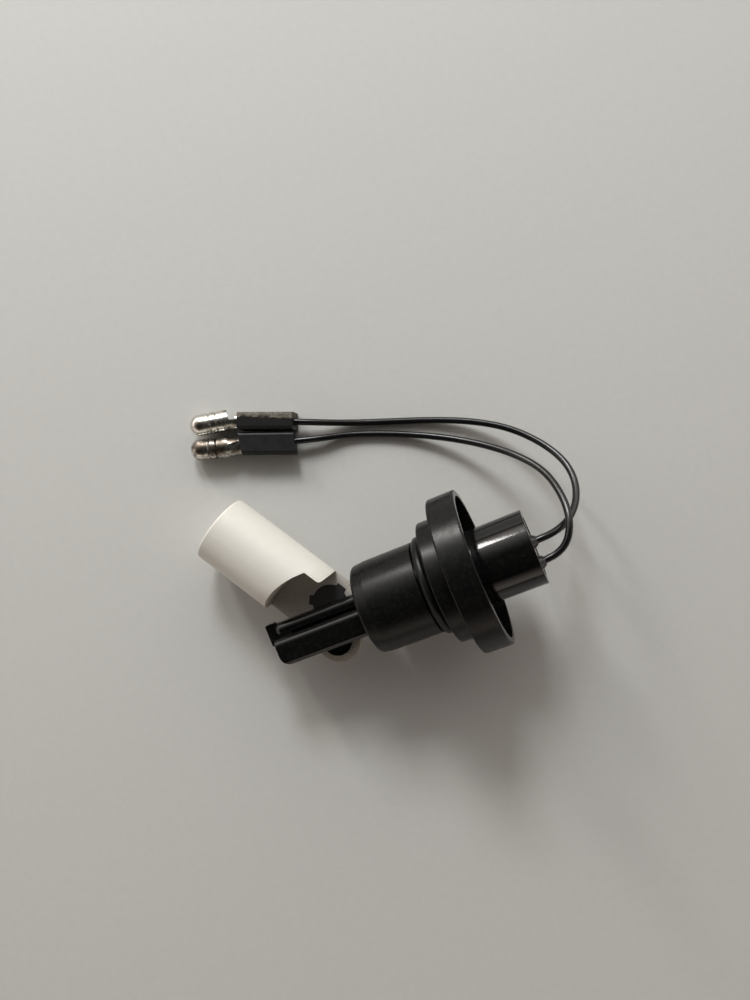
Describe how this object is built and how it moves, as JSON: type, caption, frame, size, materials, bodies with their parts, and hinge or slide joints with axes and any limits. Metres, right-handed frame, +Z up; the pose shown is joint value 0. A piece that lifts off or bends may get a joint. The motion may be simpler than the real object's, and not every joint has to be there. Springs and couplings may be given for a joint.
{
  "type": "side-mounted float level switch",
  "caption": "Side-mounted float level switch: flanged housing with seal, spigot and reed arm, a swinging hollow float with a magnet, and black flying leads ending in bullet terminals.",
  "frame": {"origin": "on the surface the switch lies on, under the centre of the box round the housing and the open float", "axes": "+Z up from that surface; +X from the float towards the flange and the leads, 11.6 degrees below the housing's own axis; +Y towards the side the float opens to"},
  "size_m": [0.0708, 0.061, 0.0295],
  "materials": {
    "black_housing": "satin moulded black plastic",
    "pale_float": "off-white foamed plastic",
    "black_rubber": "smooth black rubber",
    "black_potting": "glossy black potting compound",
    "black_trim": "dull black plastic",
    "wire_jacket": "glossy black PVC",
    "black_sleeve": "dull black soft vinyl",
    "tinned_metal": "tin plated, partly tarnished",
    "glass": "clear sealing glass",
    "reed_metal": "plated nickel-iron",
    "inner_insulation": "natural plastic tube",
    "bare_copper": "bare stranded copper",
    "solder": "solder",
    "ferrite": "grey ferrite"
  },
  "bodies": {
    "switch": {"housing": "black_housing", "sealing_ring": "black_rubber", "hinge_retainer": "black_trim", "reed_glass": "glass", "reed_front": "reed_metal", "reed_rear": "reed_metal", "lead_insulation": "inner_insulation", "conductor_1": "bare_copper", "conductor_2": "bare_copper", "solder_joint_1": "solder", "solder_joint_2": "solder", "potting": "black_potting", "lead_1": "wire_jacket", "lead_2": "wire_jacket", "strands_1": "bare_copper", "strands_2": "bare_copper", "terminal_1": "tinned_metal", "terminal_2": "tinned_metal", "sleeve_1": "black_sleeve", "sleeve_2": "black_sleeve", "crimped_conductor_1": "bare_copper", "crimped_conductor_2": "bare_copper"},
    "float": {"float_shell": "pale_float", "float_end_cap": "pale_float", "magnet": "ferrite", "magnet_cap": "black_trim"}
  },
  "joints": [
    {"name": "float_pivot", "type": "hinge", "parent": "switch", "child": "float", "pos_m": [-0.0114, -0.01016, 0.00908], "axis": [-0.2007, 0, 0.9796], "range_deg": [0, 58]}
  ]
}
